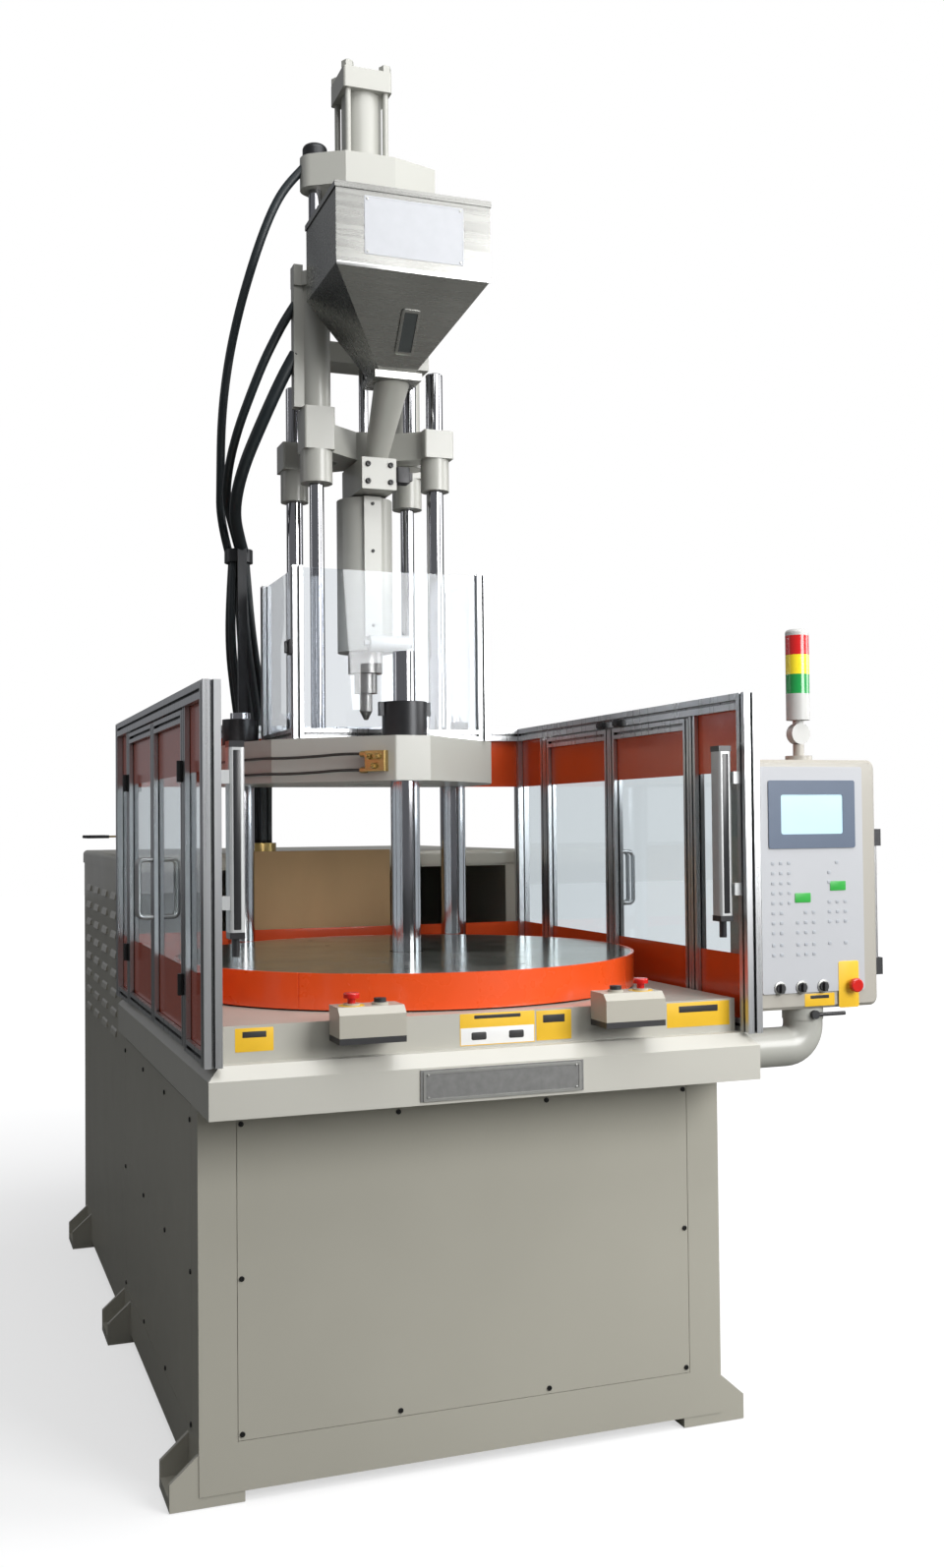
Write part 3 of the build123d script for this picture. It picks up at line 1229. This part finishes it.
def hopper():
    """The stainless hopper: box, funnel, neck flange and rolled rim, open inside."""
    half = HOPPER_WIDTH / 2
    y = (HOPPER_FRONT_Y, HOPPER_REAR_Y)
    box = block((-half, half), y, (hopper_box_bottom, hopper_top))
    body = box + pyramid(half, y, NECK_HALF, neck_z, hopper_box_bottom)
    inner_y = inset(y, HOPPER_SHEET)
    hollow = block(inset((-half, half), HOPPER_SHEET), inner_y, (hopper_box_bottom, hopper_top + 1))
    body = body - hollow
    body = body - pyramid(half - HOPPER_SHEET, inner_y, NECK_HALF - HOPPER_SHEET, neck_z, hopper_box_bottom)
    flange_z = (neck_z - NECK_FLANGE_THICKNESS, neck_z)
    reach = NECK_FLANGE_HALF
    flange = block((-reach, reach), (NECK_Y - reach, NECK_Y + reach), flange_z)
    flange = flange - rod(CHUTE_FOOT_RADIUS, 0, NECK_Y, (flange_z[0] - 1, neck_z + 1))
    write("hopper", body + flange)
    outer = half + LID_GAP + LID_SHEET
    lid_y = (y[0] - LID_GAP - LID_SHEET, y[1] + LID_GAP + LID_SHEET)
    lid_z = (hopper_top - LID_SKIRT, hopper_top + LID_SHEET)
    lid = block((-outer, outer), lid_y, lid_z)
    skirt = block(inset((-outer, outer), LID_SHEET), inset(lid_y, LID_SHEET), (lid_z[0] - 1, hopper_top))
    lid = lid - skirt
    for x in (-half / 2, half / 2):
        span = (x - LID_HINGE_LENGTH / 2, x + LID_HINGE_LENGTH / 2)
        lid = lid + rod_x(LID_HINGE_RADIUS, span, lid_y[1] + LID_HINGE_RADIUS - 1, lid_z[0])
    write("hopper_lid", lid)


def screw_drive():
    """The carriage on the columns with the screw motor on top and the piston rod above it."""
    half = COLUMN_X + CARRIAGE_MARGIN
    deep = CARRIAGE_DEPTH / 2
    plate_z = (carriage_bottom, carriage_bottom + CARRIAGE_THICKNESS)
    body = block((-half, half), (AXIS_Y - deep, AXIS_Y + deep), plate_z)
    body = drill(body, pillars(COLUMN_RADIUS + RUNNING_FIT, COLUMNS, (plate_z[0] - 1, plate_z[1] + 1)))
    motor_top = plate_z[1] + SCREW_MOTOR_LENGTH
    body = body + rod(SCREW_MOTOR_RADIUS, 0, AXIS_Y, (plate_z[1], motor_top))
    piston = (top_plate_top + 5, top_plate_top + 5 + PISTON_HEIGHT)
    body = body + rod(PISTON_ROD_RADIUS, 0, AXIS_Y, (motor_top, piston[0]))
    body = body + rod(INJECTION_BORE_RADIUS - RUNNING_FIT, 0, AXIS_Y, piston)
    body = body - rod(SCREW_ROOT_RADIUS + RUNNING_FIT, 0, AXIS_Y, (carriage_bottom - 1, plate_z[1]))
    write("screw_drive", body)


def screw():
    """The plasticising screw: root with flights as collars, a check tip and a drive shank."""
    low = barrel_bottom + 4
    top = carriage_bottom + CARRIAGE_THICKNESS - 1
    body = rod(SCREW_ROOT_RADIUS, 0, AXIS_Y, (low + SCREW_TIP, top))
    body = body + Pos(0, AXIS_Y, low + SCREW_TIP / 2) * Cone(4, SCREW_ROOT_RADIUS, SCREW_TIP)
    count = int((throat_bottom - low - SCREW_TIP) / SCREW_PITCH)
    for turn in range(count):
        z = low + SCREW_TIP + turn * SCREW_PITCH
        body = body + rod(SCREW_RADIUS, 0, AXIS_Y, (z, z + SCREW_PITCH / 5))
    write("screw", body)


def panel():
    """The operator panel: rounded housing, face plate, side handle and the boss of the tower."""
    x = (panel_left, panel_left + PANEL_WIDTH)
    y = (PANEL_FRONT_Y, PANEL_FRONT_Y + PANEL_DEPTH)
    body = block(x, y, (panel_bottom, panel_top))
    body = fillet(body.edges().filter_by(Axis.Y), PANEL_CORNER)
    body = chamfer(body.faces().sort_by(Axis.Y)[0].edges(), PANEL_EDGE)
    grip_z = (panel_bottom + GRIP_LOW, panel_bottom + GRIP_HIGH)
    right = x[1]
    deep = (swivel_y - GRIP_BLOCK_DEPTH / 2, swivel_y + GRIP_BLOCK_DEPTH / 2)
    for z in grip_z:
        tall = (z - GRIP_BLOCK_HEIGHT / 2, z + GRIP_BLOCK_HEIGHT / 2)
        body = body + block((right, right + GRIP_BLOCK), deep, tall)
    body = body + rod(GRIP_RADIUS, right + GRIP_OUT, swivel_y, grip_z)
    stem_top = tower_pivot - TOWER_PIVOT_RADIUS - BEARING_GAP
    body = body + rod(TOWER_FOOT_RADIUS, swivel_x, swivel_y, (panel_top, panel_top + TOWER_FOOT))
    body = body + rod(TOWER_STEM_RADIUS, swivel_x, swivel_y, (panel_top, stem_top))
    well_y = (face_y - 1, y[0] + BUTTON_WELL)
    knob_places = [knob_first + index * KNOB_PITCH for index in range(3)]
    wells = [rod_y(KNOB_STEM + STEM_FIT, place, well_y, knob_z) for place in knob_places]
    wells.append(rod_y(ESTOP_STEM + STEM_FIT, panel_stop_x, well_y, knob_z))
    write("panel_housing", drill(body, wells))
    left = x[0] + FACE_LEFT_MARGIN
    low = panel_bottom + FACE_BOTTOM_MARGIN
    face = block((left, left + FACE_WIDTH), (face_y, PANEL_FRONT_Y), (low, low + FACE_HEIGHT))
    face = fillet(face.edges().filter_by(Axis.Y), FACE_CORNER)
    face = drill(face, wells)
    write("panel_face", face)
    for index, centre in enumerate(knob_places):
        stem = rod_y(KNOB_STEM, centre, (face_y, y[0] + BUTTON_WELL / 2), knob_z)
        cap = rod_y(KNOB_RADIUS, centre, (face_y - KNOB_RISE / 2, face_y), knob_z)
        grip_x = (centre - KNOB_GRIP / 2, centre + KNOB_GRIP / 2)
        grip_y = (face_y - KNOB_RISE, face_y - KNOB_RISE / 2)
        grip = block(grip_x, grip_y, inset((knob_z - KNOB_RADIUS, knob_z + KNOB_RADIUS), 1))
        write(f"selector_knob_{index + 1}", stem + cap + grip)
    stop = mushroom(0, 0, 0)
    write("panel_estop", Pos(panel_stop_x, face_y, knob_z) * Rot(90, 0, 0) * stop)


def panel_arm():
    """The elbow arm from the tray to the swivel under the panel."""
    start = tray_side - TRAY_BEVEL
    face = tray_side
    path = FilletPolyline(
        (start, swivel_y, arm_z),
        (swivel_x, swivel_y, arm_z),
        (swivel_x, swivel_y, panel_bottom - COLLAR_HEIGHT),
        radius=ARM_BEND,
    )
    section = Plane(origin=path @ 0, z_dir=path % 0) * Circle(ARM_RADIUS)
    body = sweep(section, path=path)
    body = body + rod_x(ARM_FLANGE_RADIUS, (face, face + ARM_FLANGE), swivel_y, arm_z)
    body = body - tray_outline()
    collar = (panel_bottom - COLLAR_HEIGHT, panel_bottom - BEARING_GAP)
    body = body + rod(SWIVEL_RADIUS, swivel_x, swivel_y, collar)
    write("panel_arm", body)
    hub_y = swivel_y - SWIVEL_RADIUS - BEARING_GAP - LEVER_HUB
    z = panel_bottom - COLLAR_HEIGHT / 2
    hub = rod_y(LEVER_HUB, swivel_x, (hub_y, hub_y + LEVER_HUB), z)
    stick = rod_x(LEVER_RADIUS, (swivel_x, swivel_x + LEVER_LENGTH), hub_y + LEVER_HUB / 2, z)
    write("clamp_lever", hub + stick)


def tower():
    """The folding signal tower: pivot ball, grey body and three lenses with a cap."""
    x = swivel_x
    width = (swivel_y - TOWER_PIVOT_WIDTH / 2, swivel_y + TOWER_PIVOT_WIDTH / 2)
    ball = rod_y(TOWER_PIVOT_RADIUS, x, width, tower_pivot)
    low = tower_pivot + TOWER_PIVOT_RADIUS + TOWER_NECK
    neck = rod(TOWER_STEM_RADIUS, x, swivel_y, (tower_pivot, low))
    body = rod(TOWER_RADIUS, x, swivel_y, (low, low + TOWER_BODY_HEIGHT))
    lens_low = low + TOWER_BODY_HEIGHT
    top = lens_low + 3 * LENS_HEIGHT
    cap = rod(TOWER_RADIUS, x, swivel_y, (top, top + TOWER_CAP))
    cap = fillet(cap.edges().sort_by(Axis.Z)[-1], TOWER_CAP_ROUND)
    write("signal_tower", ball + neck + body, cap)
    lenses = []
    for index in range(3):
        z = lens_low + index * LENS_HEIGHT
        lenses.append(rod(TOWER_RADIUS, x, swivel_y, (z, z + LENS_HEIGHT)))
    write("tower_lenses", *lenses)


def lid_fittings():
    """Ball taps on the cabinet lid, and the gland where the hose loom goes in."""
    parts = []
    top = lid_top + TAP_HEIGHT
    for index in range(TAP_COUNT):
        y = TAP_Y - index * TAP_PITCH
        width = (y - LEVER_WIDTH / 2, y + LEVER_WIDTH / 2)
        body = rod(TAP_RADIUS, TAP_X, y, (lid_top, top))
        across = (TAP_X - TAP_BODY_HALF, TAP_X + TAP_BODY_HALF)
        body = body + rod_x(TAP_BODY_RADIUS, across, y, lid_top + TAP_BODY_LIFT)
        lever = block((TAP_X - LEVER_OUT, TAP_X + LEVER_TAIL), width, (top, top + LEVER_THICKNESS))
        parts.append(body + lever)
    reach = strand_offset * LOOM_ROUTE[-1][3] + STRAND_RADIUS
    gland = rod(reach + GLAND_WALL, LOOM_FOOT_X, LOOM_FOOT_Y, (lid_top, loom_foot_z))
    write("lid_fittings", *parts, gland)


def hose(points, radius):
    """A hose along straight runs joined by arcs."""
    vectors = [Vector(*point) for point in points]
    runs = [b - a for a, b in zip(vectors, vectors[1:])]
    radii = []
    for before, after in zip(runs, runs[1:]):
        turn = math.radians(before.get_angle(after))
        radii.append(0.45 * min(before.length, after.length) / math.tan(turn / 2))
    path = FilletPolyline(*points, radius=radii)
    section = Plane(origin=path @ 0, z_dir=path % 0) * Circle(radius)
    body = sweep(section, path=path)
    ratio = body.volume / (math.pi * radius ** 2 * path.length)
    print("hose length", round(path.length), "least radius", round(min(radii)), "ratio", round(ratio, 4))
    return body


def from_strap(offsets):
    """Places given as their distances from the middle of the strap."""
    return [(strap_x + dx, strap_y + dy, strap_z + dz) for dx, dy, dz in offsets]


def hoses():
    """Three pressure hoses from the injection unit to the strap, cut flat at both ends."""
    over = strap_top + BEARING_GAP
    wide = 3 * LOOM_RADIUS
    strap_x_span = (strap_x - wide, strap_x + wide)
    strap_cut = block(strap_x_span, (strap_y - wide, strap_y + wide), (strap_top - STRAP_HEIGHT, over))
    plate_end = -COLUMN_X - TOP_LOBE_RADIUS - BEARING_GAP
    near_axis = (AXIS_Y - wide, AXIS_Y + wide)
    plate_cut = block((plate_end, 0), near_axis, (top_plate_bottom, top_plate_top))
    port_end = -ROD_X - SHIFT_CYLINDER_RADIUS - PORT_BLOCK + PORT_LAP - BEARING_GAP
    near_port = (rod_front_y - wide, rod_front_y + wide)
    port_top = cylinder_block_top + SHIFT_CYLINDER_LENGTH
    port_cut = block((port_end, -ROD_X), near_port, (cylinder_block_top, port_top))
    write("hose_top", drill(hose(from_strap(TOP_ROUTE), HOSE_RADIUS), [plate_cut, strap_cut]))
    write("hose_middle", drill(hose(from_strap(MIDDLE_ROUTE), HOSE_RADIUS), [port_cut, strap_cut]))
    write("hose_lower", drill(hose(from_strap(LOWER_ROUTE), LOWER_HOSE_RADIUS), [port_cut, strap_cut]))


def loom():
    """The loom: a taped sleeve in the strap and six hoses that spread below it."""
    drop = strap_top - loom_foot_z
    sleeve_bottom = strap_top - STRAP_HEIGHT
    body = rod(LOOM_RADIUS, strap_x, strap_y, (sleeve_bottom, strap_top))
    places = [(0.0, 0.0)]
    for strand in range(LOOM_STRANDS):
        angle = 2 * math.pi * strand / LOOM_STRANDS
        places.append((strand_offset * math.cos(angle), strand_offset * math.sin(angle)))
    for dx, dy in places:
        route = []
        for x, y, share, spread in LOOM_ROUTE:
            route.append((x + dx * spread, y + dy * spread, loom_foot_z + share * drop))
        body = body + hose(route, STRAND_RADIUS)
    write("hose_loom", body)


os.makedirs("parts", exist_ok=True)
base_frame()
covers()
tray()
bed()
rear_cabinet()
rear_board()
fence_frame()
fixed_sheets()
doors()
light_curtains()
button_boxes()
slewing_ring()
rotary_table()
table_rim()
table_motor()
clamp_cylinder()
clamp_parts()
platen()
seat_rods()
guard()
hose_stand()
seat()
shift_cylinders()
injection_head()
barrel()
chute()
hopper()
screw_drive()
screw()
panel()
panel_arm()
tower()
lid_fittings()
hoses()
loom()
